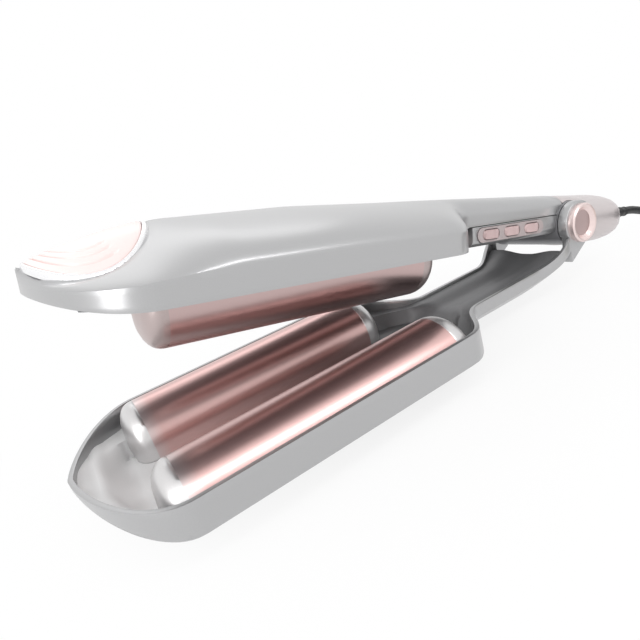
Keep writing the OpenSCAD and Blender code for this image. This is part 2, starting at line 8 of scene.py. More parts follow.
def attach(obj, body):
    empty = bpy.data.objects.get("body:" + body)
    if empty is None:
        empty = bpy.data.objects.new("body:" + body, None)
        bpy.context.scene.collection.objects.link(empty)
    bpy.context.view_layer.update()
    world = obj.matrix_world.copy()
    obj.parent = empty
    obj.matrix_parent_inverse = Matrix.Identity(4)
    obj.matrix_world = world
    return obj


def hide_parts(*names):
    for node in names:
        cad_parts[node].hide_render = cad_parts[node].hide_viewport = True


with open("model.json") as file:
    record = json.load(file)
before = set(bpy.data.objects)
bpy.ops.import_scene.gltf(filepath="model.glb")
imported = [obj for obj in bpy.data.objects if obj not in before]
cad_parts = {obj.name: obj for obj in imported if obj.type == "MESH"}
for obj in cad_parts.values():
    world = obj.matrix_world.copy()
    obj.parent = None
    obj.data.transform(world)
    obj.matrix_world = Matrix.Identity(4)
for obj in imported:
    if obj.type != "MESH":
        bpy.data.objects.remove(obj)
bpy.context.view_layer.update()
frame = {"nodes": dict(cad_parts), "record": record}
print("stage: frame loaded")

mm = 0.001

# Main sizes in millimetres, as in the part's source
arm = {
    "lowerReach": 185.0, "upperReach": 180.0, "headWidth": 75.0, "handleWidth": 29.0,
    "noseLength": 23.0, "neckLength": 29.0, "wall": 1.3, "fit": 0.15, "run": 0.3,
    "barrelInset": 22.0, "barrelLength": 80.0, "barrelPitch": 46.2, "barrelZ": 10.0, "neckGap": 1.5,
    "capLength": 6.5, "rearCapLength": 8.0, "upperShift": 12.0,
    "lowerRimZ": 19.0, "lowerHandleZ": 14.0, "lowerUnderZ": 4.5,
    "upperRimZ": 24.5, "upperTopZ": 41.7, "topFall": 0.05, "seamZ": 29.2,
    "hingeZ": 25.4, "rearLength": 38.0, "openAngle": math.radians(12),
    "flareX": -22.0, "shellEnd": -7.0, "gripEnd": -4.5, "earOut": 18.7, "edge": 0.35,
}
hingeX = (arm["lowerReach"] - arm["rearLength"] * math.cos(arm["openAngle"])) / 2
barrelStart = -arm["lowerReach"] + arm["barrelInset"]
barrelEnd = barrelStart + arm["barrelLength"]
upperStart = barrelStart + arm["upperShift"]
neckStart = barrelEnd + arm["neckGap"]
neckEnd = neckStart + arm["neckLength"]


def smooth(t):
    t = min(max(t, 0.0), 1.0)
    return t * t * (3 - 2 * t)


def mix(a, b, t):
    return a + (b - a) * t


def above(t):
    return max(t, 0.0)


def bend(a, b, c, t):
    return a * (1 - t) ** 2 + b * 2 * t * (1 - t) + c * t * t


def curve(steps, t):
    # cubic curve between the first and the last of four values
    return mix(bend(*steps[:3], t), bend(*steps[1:], t), t)


def lesser(a, b, corner=0.7):
    # smaller of the two heights, with a rounded corner between them
    spread = above(corner * 4 - abs(a - b)) / (corner * 4)
    return min(a, b) - spread * spread * corner


def swing(p):
    # from the shut position, relative to the hinge, to the open one in the frame
    x, y, z = p[0], p[1], p[2] - arm["hingeZ"]
    c, s = math.cos(arm["openAngle"]), math.sin(arm["openAngle"])
    return Vector((hingeX + x * c + z * s, y, arm["hingeZ"] - x * s + z * c)) * mm


def lay(p):
    # the lower arm stays level, so its points are only moved along
    return Vector((hingeX + p[0], p[1], p[2])) * mm


class Value:
    # a socket of a material, on which sums are written as in Python
    def __init__(self, net, socket):
        self.net = net
        self.socket = socket

    def maths(self, operation, first, second=None):
        node = self.net.tree.nodes.new("ShaderNodeMath")
        node.operation = operation
        for place, item in ((0, first), (1, second)):
            if item is not None:
                self.net.feed(node.inputs[place], item)
        return Value(self.net, node.outputs[0])

    def __add__(self, other): return self.maths("ADD", self, other)
    def __radd__(self, other): return self.maths("ADD", other, self)
    def __sub__(self, other): return self.maths("SUBTRACT", self, other)
    def __rsub__(self, other): return self.maths("SUBTRACT", other, self)
    def __mul__(self, other): return self.maths("MULTIPLY", self, other)
    def __rmul__(self, other): return self.maths("MULTIPLY", other, self)
    def __truediv__(self, other): return self.maths("DIVIDE", self, other)

    def sine(self): return self.maths("SINE", self)
    def size(self): return self.maths("ABSOLUTE", self)

    def clamped(self):
        value = self.maths("ADD", self, 0.0)
        value.socket.node.use_clamp = True
        return value


class Finish:
    # one material, or the tree that is given, whose nodes are added by type
    def __init__(self, name, settings=None, tree=None):
        self.tree = tree
        if tree is None:
            self.material = bpy.data.materials.new(name)
            self.material.use_nodes = True
            self.tree = self.material.node_tree
            self.shader = self.tree.nodes["Principled BSDF"]
        for key, item in (settings or {}).items():
            self.feed(self.shader.inputs[key], item)

    def feed(self, socket, item):
        if isinstance(item, Value):
            self.tree.links.new(item.socket, socket)
        elif hasattr(item, "__len__") and len(item) < len(socket.default_value):
            socket.default_value = (*item, 1)
        else:
            socket.default_value = item

    def node(self, kind, settings=None, inputs=None, output=0):
        node = self.tree.nodes.new("ShaderNode" + kind)
        for key, item in (settings or {}).items():
            if key == "stops":
                ramp = node.color_ramp
                while len(ramp.elements) < len(item):
                    ramp.elements.new(0.5)
                for element, (place, colour) in zip(ramp.elements, item):
                    element.position = place
                    element.color = (*colour, 1)
            else:
                setattr(node, key, item)
        for key, item in (inputs or {}).items():
            self.feed(node.inputs[key], item)
        return Value(self, node.outputs[output])

    def place(self, stretch=(1, 1, 1)):
        spot = self.node("TexCoord", output=3)
        return self.node("Mapping", {}, {"Vector": spot, "Scale": stretch})

    def noise(self, scale, detail=2.0, stretch=(1, 1, 1)):
        return self.node("TexNoise", {}, {"Vector": self.place(stretch), "Scale": scale,
                                          "Detail": detail})

    def along(self, axis):
        spot = self.node("TexCoord", output=3)
        return self.node("SeparateXYZ", {}, {"Vector": spot}, output="XYZ".index(axis))

    def blend(self, factor, first, second):
        return self.node("Mix", {"data_type": "RGBA"}, {0: factor, 6: first, 7: second}, output=2)

    def give(self, **inputs):
        for key, item in inputs.items():
            self.feed(self.shader.inputs[key.replace("_", " ")], item)

    def bump(self, height, strength, distance):
        self.give(Normal=self.node("Bump", {}, {"Height": height, "Strength": strength,
                                                "Distance": distance}))


# camera at the photograph's angle
cameraValues = {
    "place": (-0.0946, -0.1287, 0.0753), "focal": 485.8, "photoWidth": 640,
    "right": (0.81771, -0.50339, -0.27919), "down": (-0.39439, -0.13666, -0.90873),
}


def makeCamera(values):
    data = bpy.data.cameras.new("photoCamera")
    camera = bpy.data.objects.new("photoCamera", data)
    bpy.context.scene.collection.objects.link(camera)
    right = Vector(values["right"]).normalized()
    up = -Vector(values["down"])
    up = (up - right * up.dot(right)).normalized()
    back = right.cross(up)
    turn = Matrix((right, up, back)).transposed().to_4x4()
    camera.matrix_world = Matrix.Translation(values["place"]) @ turn
    data.sensor_width = 36
    data.lens = values["focal"] / values["photoWidth"] * 36
    data.clip_start = 0.005
    bpy.context.scene.camera = camera


makeCamera(cameraValues)
print("stage: camera")

# colour and roughness of each metallic paint
paintValues = {
    "silverPaint": ((0.44, 0.44, 0.445), 0.31), "capPaint": ((0.66, 0.65, 0.65), 0.34),
    "capRose": ((0.50, 0.42, 0.41), 0.36), "rimPaint": ((0.86, 0.86, 0.87), 0.26),
    "ringPaint": ((0.80, 0.66, 0.64), 0.28), "gripPaint": ((0.40, 0.40, 0.405), 0.38),
    "housingPaint": ((0.60, 0.55, 0.55), 0.34),
}
flakeValues = {"metal": 0.85, "coat": 0.12, "coatRough": 0.25, "flakeScale": 5200, "waveScale": 60,
               "spread": 0.07, "relief": 0.06, "reliefHeight": 0.00005}


def tones(colour, darker, lighter):
    return [c * (1 - darker) for c in colour], [min(c * (1 + lighter), 1) for c in colour]


def makePaint(name):
    # sprayed metallic paint: fine flakes, and a faint waviness in its gloss
    colour, rough = paintValues[name]
    finish = Finish(name, {"Metallic": flakeValues["metal"], "Coat Weight": flakeValues["coat"],
                           "Coat Roughness": flakeValues["coatRough"]})
    flake = finish.noise(flakeValues["flakeScale"], 2)
    wave = finish.noise(flakeValues["waveScale"], 3)
    spread = flakeValues["spread"]
    finish.give(Base_Color=finish.blend(flake, *tones(colour, spread, spread)),
                Roughness=rough - 0.02 + flake * 0.03 + wave * 0.03)
    finish.bump(flake, flakeValues["relief"], flakeValues["reliefHeight"])
    return finish.material


roseValues = {
    "roseLower": ((0.66, 0.44, 0.42), 0.30), "roseUpper": ((0.56, 0.42, 0.41), 0.32),
    "roseDisc": ((0.60, 0.46, 0.45), 0.30), "lineScale": 2600, "lineStretch": (1, 0.12, 0.12),
    "cloudScale": 40, "fade": 0.6, "fadeLength": 0.004,
}


def makeRose(name, fadeFrom=None):
    # coated metal with very fine lines around the barrel, silvery towards its front edge
    colour, rough = roseValues[name]
    finish = Finish(name, {"Metallic": 1.0})
    lines = finish.noise(roseValues["lineScale"], 2, roseValues["lineStretch"])
    cloud = finish.noise(roseValues["cloudScale"], 2)
    tone = finish.blend(lines * 0.6 + cloud * 0.4, *tones(colour, 0.035, 0.04))
    if fadeFrom is not None:
        edge = ((fadeFrom - finish.along("X")) / roseValues["fadeLength"]).clamped()
        tone = finish.blend(edge * roseValues["fade"], tone, paintValues["capPaint"][0])
    finish.give(Base_Color=tone, Roughness=rough - 0.02 + lines * 0.03)
    finish.bump(lines, 0.012, 0.00002)
    return finish.material


# colour, roughness, scale and strength of the grain, coat, and share of metal
plasticValues = {
    "padPlastic": ((0.86, 0.70, 0.68), 0.36, 1800, 0.05, 0.25, 0.0),
    "buttonPlastic": ((0.52, 0.38, 0.375), 0.34, 1800, 0.05, 0.3, 0.0),
    "stripPlastic": ((0.44, 0.38, 0.38), 0.4, 1800, 0.05, 0.2, 0.4),
    "greyPlastic": ((0.20, 0.20, 0.21), 0.38, 1400, 0.08, 0.2, 0.4),
    "cordRubber": ((0.012, 0.012, 0.013), 0.5, 900, 0.12, 0.0, 0.0),
    "boardGreen": ((0.03, 0.16, 0.06), 0.4, 1600, 0.08, 0.0, 0.0),
}


def makePlastic(name):
    # moulded plastic with a fine spark-eroded grain
    colour, rough, grain, depth, coat, metal = plasticValues[name]
    finish = Finish(name, {"Metallic": metal, "Coat Weight": coat, "Coat Roughness": 0.15})
    fine = finish.noise(grain, 3)
    broad = finish.noise(70, 2)
    finish.give(Base_Color=finish.blend(fine * 0.5 + broad * 0.5, *tones(colour, 0.06, 0.06)),
                Roughness=rough - 0.03 + fine * 0.06)
    finish.bump(fine, depth, 0.00006)
    return finish.material


# greys along the tray, from its nose to the handle: painted light near the nose, fading to painted shade
# towards the handle
dishLightAndShadeValues = {
    "start": -180.0, "length": 110.0,
    "stops": [(0.0, (0.90, 0.90, 0.90)), (0.25, (0.86, 0.86, 0.86)),
              (0.75, (0.24, 0.24, 0.245)), (1.0, (0.17, 0.17, 0.175))],
    "speckle": (0.5, 0.5, 0.5), "metal": 0.45, "rough": 0.5,
}


def makeDishLightAndShade(name):
    # painted inside of the tray, with painted light at the nose and painted shade, darker, towards the
    # handle
    finish = Finish(name, {"Coat Weight": 0.1, "Coat Roughness": 0.25})
    start, length = (hingeX + dishLightAndShadeValues["start"]) * mm, dishLightAndShadeValues["length"] * mm
    run = ((finish.along("X") - start) / length).clamped()
    fine = finish.noise(2400, 2)
    # the ramp paints light near the nose and shade towards the handle
    tone = finish.node("ValToRGB", {"stops": dishLightAndShadeValues["stops"]}, {"Fac": run})
    finish.give(Base_Color=finish.blend(fine * 0.1, tone, dishLightAndShadeValues["speckle"]),
                Metallic=run * dishLightAndShadeValues["metal"], Roughness=dishLightAndShadeValues["rough"] + fine * 0.06)
    finish.bump(fine, 0.05, 0.00005)
    return finish.material


strapValues = {"ribs": 9000, "dark": (0.010, 0.010, 0.010), "light": (0.035, 0.035, 0.035)}


def makeStrap(name):
    # woven strap: fine ribs along and across
    finish = Finish(name, {"Sheen Weight": 0.3, "Sheen Roughness": 0.5})
    ribsAlong, ribsUp = [(finish.along(axis) * strapValues["ribs"]).sine() for axis in "XZ"]
    weave = ribsAlong * ribsUp
    finish.give(Base_Color=finish.blend(weave * 0.5 + 0.5, strapValues["dark"], strapValues["light"]),
                Roughness=0.8 + weave * 0.08)
    finish.bump(weave, 0.4, 0.0002)
    return finish.material


brushedValues = {"pinSteel": ((0.7, 0.7, 0.72), 0.25), "bladeBrass": ((0.78, 0.66, 0.40), 0.22),
                 "heaterMetal": ((0.7, 0.7, 0.71), 0.35)}


def makeBrushed(name):
    colour, rough = brushedValues[name]
    finish = Finish(name, {"Metallic": 1.0})
    lines = finish.noise(1500, 3, (1, 0.1, 1))
    finish.give(Base_Color=finish.blend(lines, *tones(colour, 0.1, 0)), Roughness=rough + lines * 0.12)
    finish.bump(lines, 0.08, 0.00004)
    return finish.material


silverPaint, capPaint, capRose, rimPaint, ringPaint, gripPaint, housingPaint = [
    makePaint(name) for name in paintValues]
roseLower = makeRose("roseLower", (hingeX + barrelStart + 4) * mm)
roseUpper, roseDisc = makeRose("roseUpper"), makeRose("roseDisc")
padPlastic, buttonPlastic, stripPlastic, greyPlastic, cordRubber, boardGreen = [
    makePlastic(name) for name in plasticValues]
dishLightAndShade = makeDishLightAndShade("dishLightAndShade")
strapWeave = makeStrap("strapWeave")
pinSteel, bladeBrass, heaterMetal = [makeBrushed(name) for name in brushedValues]
print("stage: finishes")


def link(name, mesh, material, sharp=35):
    mesh.materials.clear()
    mesh.materials.append(material)
    obj = bpy.data.objects.new(name, mesh)
    bpy.context.scene.collection.objects.link(obj)
    mesh.shade_smooth()
    mesh.set_sharp_from_angle(angle=math.radians(sharp))
    return obj


def meshOf(name, points, faces):
    mesh = bpy.data.meshes.new(name)
    mesh.from_pydata([tuple(p) for p in points], [], faces)
    mesh.update()
    return mesh


def outward(mesh):
    work = bmesh.new()
    work.from_mesh(mesh)
    bmesh.ops.remove_doubles(work, verts=work.verts, dist=1e-6)
    bmesh.ops.recalc_face_normals(work, faces=work.faces)
    work.to_mesh(mesh)
    work.free()
    return mesh


def skin(rows, closedRow=False, startCap=False, endCap=False):
    # points and faces of a sheet through rows of points
    count = len(rows[0])
    points = [p for row in rows for p in row]
    faces = []
    for i in range(len(rows) - 1):
        for j in range(count if closedRow else count - 1):
            k = (j + 1) % count
            faces.append((i * count + j, i * count + k, (i + 1) * count + k, (i + 1) * count + j))
    if startCap:
        faces.append(tuple(range(count)))
    if endCap:
        faces.append(tuple((len(rows) - 1) * count + j for j in range(count)))
    return points, faces


def thicken(obj, thickness):
    wall = obj.modifiers.new("wall", "SOLIDIFY")
    wall.thickness = thickness * mm
    wall.offset = -1


def soften(obj, width):
    soft = obj.modifiers.new("edge", "BEVEL")
    soft.width = width
    soft.segments = 2
    soft.limit_method = "ANGLE"
    soft.angle_limit = math.radians(50)


def baked(obj, sharp=35):
    bpy.context.view_layer.update()
    graph = bpy.context.evaluated_depsgraph_get()
    mesh = bpy.data.meshes.new_from_object(obj.evaluated_get(graph))
    mesh.name = obj.name
    obj.modifiers.clear()
    old = obj.data
    obj.data = mesh
    if old.users == 0 and isinstance(old, bpy.types.Mesh):
        bpy.data.meshes.remove(old)
    mesh.shade_smooth()
    mesh.set_sharp_from_angle(angle=math.radians(sharp))
    return obj


def dress(nodeName, material, sharp=40, edge=0.0):
    # a merged, smoothly shaded copy of a node, which stands for it
    mesh = frame["nodes"][nodeName].data.copy()
    work = bmesh.new()
    work.from_mesh(mesh)
    bmesh.ops.remove_doubles(work, verts=work.verts, dist=2e-6)
    bmesh.ops.dissolve_limit(work, angle_limit=math.radians(0.5), verts=work.verts, edges=work.edges)
    work.to_mesh(mesh)
    work.free()
    obj = link(nodeName + "Dressed", mesh, material, sharp)
    if edge:
        soften(obj, edge)
        baked(obj, sharp)
    return obj


def stations(start, stop, count):
    return [mix(start, stop, i / count) for i in range(count + 1)]


# thumb pad on the nose, its three grooves and its frame
padValues = {"length": 27.0, "width": 42.0, "slope": math.radians(14), "rim": 1.1, "bow": 6.6,
             "depth": 1.4, "crown": 1.0, "inset": 1.5, "noseBend": 8.0, "noseMargin": 7.0,
             "tipHeight": 6.0, "grooves": (0.88, 0.75, 0.62), "grooveWidth": 0.02,
             "grooveDepth": 0.8, "grooveEdge": 1.25, "grooveReach": 112.0, "grooveFade": 8.0,
             "seatFrom": 1.06, "seatSlope": 16.0, "seatCurve": 40.0}

# sections of the upper arm: shares of half its width and of its height, at the handle, head and nose
upperValues = {
    "wallShare": 0.34, "lowHeight": (0.55, 0.28, 0.12), "highHeight": (1.0, 0.76, 0.38),
    "lowWidth": (1.0, 1.0, 0.93), "highWidth": (0.86, 0.76, 0.70), "flatWidth": (0.3, 0.02, 0.02),
    "snoutStart": 8.0, "snoutLength": 22.0, "fallLength": 30.0, "rimTurn": 8.0, "rimCurve": 2.2,
    "arc": 40,
}

# sections of the lower arm, its nose and the flare before the hinge
lowerValues = {"sideShare": 0.44, "kneeWidth": 0.64, "flatWidth": 0.25, "arc": 14,
               "tipHeight": 2.5, "tipLength": 21.0, "tipCurve": 1.7,
               "rimFlare": 0.035, "underFlare": 0.018, "underLead": 4.0}

noseRound, leastWidth = 0.72, 0.6  # roundness of the nose in plan, and half its least width
noseStart = -arm["upperReach"] + padValues["length"] + padValues["noseMargin"]
padMiddle = -arm["upperReach"] + padValues["length"] / 2 + padValues["inset"]
fallX = neckStart - upperValues["fallLength"]
rimTurn = neckEnd - upperValues["rimTurn"]


def armWidth(x, tip):
    if x < tip + arm["noseLength"]:
        t = (x - tip) / arm["noseLength"]
        plan = arm["headWidth"] / 2 * (1 - (1 - t) ** 2) ** noseRound
        return above(plan - leastWidth) + leastWidth
    return mix(arm["headWidth"] / 2, arm["handleWidth"] / 2, neckShare(x))


def neckShare(x):
    return smooth((x - neckStart) / arm["neckLength"])


def noseStations(tip, count):
    return [tip + arm["noseLength"] * (i / count) ** 1.5 for i in range(count)]


def noseDrop(d):
    bendLength = padValues["noseBend"]
    run = 0 if d <= 0 else d * d / (2 * bendLength) if d < bendLength else d - bendLength / 2
    return math.tan(padValues["slope"]) * run


def upperTop(x):
    return arm["upperTopZ"] - arm["topFall"] * above(x - fallX) - noseDrop(noseStart - x)


def upperRim(x):
    tip = -arm["upperReach"]
    lift = upperTop(tip) - arm["upperRimZ"] - padValues["tipHeight"]
    return mix(arm["upperRimZ"], arm["seamZ"], smooth((x - rimTurn) / (neckEnd - rimTurn))) \
        + lift * above(1 - (x - tip) / (arm["noseLength"] + 1)) ** upperValues["rimCurve"]


def bow(y):
    return -padValues["bow"] * (2 * above(abs(y) - 1) / padValues["width"]) ** 2


def seatFor(x, y):
    # highest the shell may reach beside the pad, whose frame lies on it
    plane = upperTop(padMiddle) + (x - padMiddle) * math.tan(padValues["slope"]) + bow(y)
    reach = math.hypot((x - padMiddle) / (padValues["length"] / 2 * math.cos(padValues["slope"])),
                       y / (padValues["width"] / 2))
    past = above(reach - padValues["seatFrom"])
    return plane + padValues["seatSlope"] * past + padValues["seatCurve"] * past ** 2


def upperRow(x):
    w, top, rim = armWidth(x, -arm["upperReach"]), upperTop(x), upperRim(x)
    crown = 1 - neckShare(x)
    snout = smooth((noseStart + upperValues["snoutStart"] - x) / upperValues["snoutLength"])

    def share(key):
        handle, head, nose = upperValues[key]
        return mix(mix(handle, head, crown), nose, snout)

    side = mix(rim, top, upperValues["wallShare"])
    widths = [w] + [share(key) * w for key in ("lowWidth", "highWidth", "flatWidth")]
    heights = [side, mix(side, top, share("lowHeight")), mix(side, top, share("highHeight")), top]
    half = [(w, mix(rim, side, i / 4)) for i in range(4)]
    half += [(curve(widths, i / upperValues["arc"]), curve(heights, i / upperValues["arc"]))
             for i in range(upperValues["arc"] + 1)]
    half = [(y, lesser(z, seatFor(x, y))) for y, z in half]
    return [swing((x, y, z)) for y, z in half] + [swing((x, -y, z)) for y, z in reversed(half)]


def makeShell(name, rows):
    points, faces = skin(rows, startCap=True)
    obj = link(name, outward(meshOf(name, points, faces)), silverPaint)
    thicken(obj, arm["wall"])
    soften(obj, arm["edge"] * mm)
    return baked(obj)


def makeUpperShell():
    # stations lie closer where the shape turns
    tip, padEnd = -arm["upperReach"], noseStart + 12
    xs = noseStations(tip, 40) + stations(tip + arm["noseLength"], padEnd, 26) \
        + stations(padEnd, neckStart, 12)[1:] + stations(neckStart, neckEnd, 28)[1:] \
        + stations(neckEnd, arm["gripEnd"], 6)[1:]
    return makeShell("upperShellSkin", [upperRow(x) for x in xs])


def lowerWidth(x):
    flare = smooth((x - arm["flareX"]) / (arm["shellEnd"] - 1 - arm["flareX"]))
    return armWidth(x, -arm["lowerReach"]) + (arm["earOut"] - arm["handleWidth"] / 2) * flare


def lowerRim(x):
    return mix(arm["lowerRimZ"], arm["lowerHandleZ"], neckShare(x)) \
        + lowerValues["rimFlare"] * above(x - arm["flareX"]) ** 2


def lowerUnder(x):
    nose = above(1 - (x + arm["lowerReach"]) / lowerValues["tipLength"]) ** lowerValues["tipCurve"]
    return (arm["lowerRimZ"] - lowerValues["tipHeight"]) * nose + arm["lowerUnderZ"] * neckShare(x) \
        + lowerValues["underFlare"] * above(x - arm["flareX"] + lowerValues["underLead"]) ** 2


def lowerRow(x):
    w, top, under, arc = lowerWidth(x), lowerRim(x), lowerUnder(x), lowerValues["arc"]
    side = mix(top, under, lowerValues["sideShare"])
    half = [(w, mix(top, side, i / 4)) for i in range(4)]
    half += [(bend(w, lowerValues["kneeWidth"] * w, lowerValues["flatWidth"] * w, i / arc),
              bend(side, under, under, i / arc)) for i in range(arc + 1)]
    return [lay((x, y, z)) for y, z in half] + [lay((x, -y, z)) for y, z in reversed(half)]


def makeLowerShell():
    tip = -arm["lowerReach"]
    xs = noseStations(tip, 26) + stations(tip + arm["noseLength"], neckStart, 16) \
        + stations(neckStart, neckEnd, 28)[1:] + stations(neckEnd, arm["flareX"], 6)[1:] \
        + stations(arm["flareX"], arm["shellEnd"], 12)[1:]
    return makeShell("lowerShellSkin", [lowerRow(x) for x in xs])


# inner cover of the tray, with a channel between the two seats of the barrels
trayValues = {"seatRise": 2.4, "floorDrop": 3.0, "ramp": 0.6, "riseLength": 8.0, "noseGap": 6.0,
              "belowRim": 0.6, "thickness": 0.8, "across": 24, "leastWidth": 0.3, "overSide": 0.2,
              "turn": 0.4, "leastFloor": 1.0, "noseFloor": 1.5, "stepShare": 0.7, "rampShare": 0.9}
roomStart = barrelStart - arm["capLength"] - arm["run"]
riseX = upperStart + arm["barrelLength"] + arm["rearCapLength"] + arm["run"]
seatZ, floorZ = arm["barrelZ"] + trayValues["seatRise"], arm["barrelZ"] - trayValues["floorDrop"]


def dishRise(x):
    if x < roomStart:
        start = -arm["lowerReach"] + trayValues["noseGap"]
        return 1 - smooth((x - start) / (roomStart - start))
    return smooth((x - riseX) / trayValues["riseLength"])


def dishRow(x):
    # surface of the inner cover across the tray
    tray = trayValues
    w = above(lowerWidth(x) - arm["wall"] - arm["fit"] - tray["leastWidth"]) + tray["leastWidth"]
    under, rise = lowerUnder(x) + arm["wall"] + arm["fit"], dishRise(x)
    side = mix(lowerRim(x), under, lowerValues["sideShare"])
    knee = bend(side, under, under, 1 / 6)
    edge = mix(seatZ, lowerRim(x) - tray["belowRim"], above(rise - tray["turn"]))
    seat = max(side + tray["overSide"], knee, edge)
    low = max(under + tray["leastFloor"], mix(floorZ, seat - tray["noseFloor"], rise))
    step = min(arm["barrelPitch"] / 2, tray["stepShare"] * w)
    ramp = mix(tray["ramp"], step * tray["rampShare"], rise)
    ys = [w * (1 - i / tray["across"]) for i in range(tray["across"] + 1)]
    half = [(y, mix(low, seat, smooth((y - (step - ramp)) / ramp))) for y in ys]
    return [lay((x, y, z)) for y, z in half] + [lay((x, -y, z)) for y, z in reversed(half[:-1])]


def makeDishSheet():
    xs = [x for x in noseStations(-arm["lowerReach"], 30)
          if -arm["lowerReach"] + 1.5 < x < roomStart]
    xs += [roomStart, barrelStart] + stations(barrelStart, riseX, 14)[1:] \
        + stations(riseX, arm["shellEnd"] - 1, 30)[1:]
    points, faces = skin([dishRow(x) for x in xs])
    mesh = meshOf("lowerDish", points, faces)
    if mesh.polygons[len(mesh.polygons) // 2].normal.z < 0:
        mesh.flip_normals()
    obj = link("lowerDish", mesh, dishLightAndShade)
    thicken(obj, trayValues["thickness"])
    return baked(obj)


def onNose(p):
    # from the pad's own plane to the frame
    c, s = math.cos(padValues["slope"]), math.sin(padValues["slope"])
    return swing((padMiddle + p[0] * c - p[2] * s, p[1], upperTop(padMiddle) + p[0] * s + p[2] * c))


def grooveDepth(share, angle):
    # three U-shaped grooves that open away from the tip
    depth = 0.0
    for middle in padValues["grooves"]:
        across = abs(share - middle) / padValues["grooveWidth"]
        turned = abs(math.degrees(angle) - 180)
        reach = smooth((padValues["grooveReach"] - turned) / padValues["grooveFade"])
        depth = max(depth, smooth(padValues["grooveEdge"] - across) * reach)
    return padValues["grooveDepth"] * depth


def ovalAngles(count=128):
    return [math.tau * i / count for i in range(count)]


def makePad():
    l, w = padValues["length"] / 2 - arm["fit"], padValues["width"] / 2 - arm["fit"]
    shares = [i / 180 for i in range(1, 178)] + [0.9925, 0.997, 1.0]
    rows = []
    for share in shares:
        rows.append([])
        for angle in ovalAngles():
            x, y = l * share * math.cos(angle), w * share * math.sin(angle)
            z = 0.2 + padValues["crown"] * math.sqrt(above(1 - share * share)) + bow(y) \
                - grooveDepth(share, angle)
            rows[-1].append(onNose((x, y, z)))
    base = 0.1 - padValues["depth"]
    rows.append([onNose((l * math.cos(a), w * math.sin(a), base + bow(w * math.sin(a))))
                 for a in ovalAngles()])
    points, faces = skin(rows, closedRow=True, startCap=True, endCap=True)
    return link("thumbPadCrown", outward(meshOf("thumbPadCrown", points, faces)), padPlastic, 50)


def makePadRim():
    l, w, rim = padValues["length"] / 2, padValues["width"] / 2, padValues["rim"]
    profile = [(0.1, -1.5), (0.1, 0.1), (0.2, 0.3), (0.4, 0.36), (rim - 0.45, 0.34),
               (rim - 0.2, 0.2), (rim - 0.1, -0.1), (rim - 0.1, -1.5)]
    rows = [[onNose(((l + out) * math.cos(a), (w + out) * math.sin(a), z + bow((w + out) * math.sin(a))))
             for a in ovalAngles()] for out, z in profile]
    points, faces = skin(rows + [rows[0]], closedRow=True)
    return link("thumbPadFrame", outward(meshOf("thumbPadFrame", points, faces)), rimPaint)


upperShellSkin = makeUpperShell()
lowerShellSkin = makeLowerShell()
lowerDish = makeDishSheet()
thumbPadCrown = makePad()
thumbPadFrame = makePadRim()
for obj, body, nodeName, slotName in (
        (upperShellSkin, "upper_arm", "upper_shell", "satin_silver"),
        (lowerShellSkin, "lower_arm", "lower_shell", "satin_silver"),
        (lowerDish, "lower_arm", "lower_cover", "grey_inner"),
        (thumbPadCrown, "upper_arm", "thumb_pad", "pad_pink"),
        (thumbPadFrame, "upper_arm", "thumb_pad_rim", "bright_rim")):
    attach(obj, body)
    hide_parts(nodeName)
print("stage: shells and pad")

# round and moulded pieces: finish, angle from which an edge is sharp, and softening of edges
dressValues = {
    "lower_barrel_left": (roseLower, 40, 0), "lower_barrel_right": (roseLower, 40, 0),
    "upper_barrel": (roseUpper, 40, 0),
    "lower_front_cap_left": (capPaint, 50, 0), "lower_front_cap_right": (capPaint, 50, 0),
    "lower_rear_cap_left": (capPaint, 50, 0), "lower_rear_cap_right": (capPaint, 50, 0),
    "upper_front_cap": (capRose, 50, 0), "upper_rear_cap": (capRose, 50, 0),
    "hinge_ear_left": (silverPaint, 35, 0.0003), "hinge_ear_right": (silverPaint, 35, 0.0003),
    "hinge_ring_left": (ringPaint, 30, 0), "hinge_ring_right": (ringPaint, 30, 0),
    "hinge_disc_left": (roseDisc, 35, 0), "hinge_disc_right": (roseDisc, 35, 0),
    "hinge_pin": (pinSteel, 35, 0), "hinge_sleeve": (greyPlastic, 35, 0),
    "upper_cover": (greyPlastic, 30, 0), "grip_cover": (gripPaint, 30, 0.0003),
    "button_strip": (stripPlastic, 35, 0), "rear_housing": (housingPaint, 40, 0),
    "button_plus": (buttonPlastic, 35, 0), "button_minus": (buttonPlastic, 35, 0),
    "button_power": (buttonPlastic, 35, 0), "plug_body": (cordRubber, 40, 0),
    "cord_tie": (strapWeave, 40, 0.0002), "strain_relief": (cordRubber, 35, 0),
    "plug_blade_left": (bladeBrass, 35, 0.0002), "plug_blade_right": (bladeBrass, 35, 0.0002),
    "upper_heater": (heaterMetal, 35, 0), "lower_heater_left": (heaterMetal, 35, 0),
    "lower_heater_right": (heaterMetal, 35, 0), "control_board": (boardGreen, 35, 0),
}
bodyOfNode = {nodeName: body for body, nodes in frame["record"]["behaviour"]["bodies"].items()
              for nodeName in nodes}
for nodeName, (material, sharp, edge) in dressValues.items():
    obj = dress(nodeName, material, sharp, edge)
    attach(obj, bodyOfNode[nodeName])
    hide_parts(nodeName)
print("stage: dressed pieces")

# mains cord: out of the strain relief, round the coil and on to the plug
cordValues = {"diameter": 3.6, "reliefLength": 24.0, "turns": 3.125, "innerRadius": 14.6,
              "layers": 4, "coilX": 185.0, "coilY": -34.0, "tieThickness": 0.8, "tieGap": 0.2,
              "tieAngle": 90.0, "ringsPerTurn": 24, "sides": 12, "turnGap": 0.7, "layerGap": 0.5,
              "reliefInset": 4.0, "reliefCollar": 5.0, "housingUnder": 15.4}


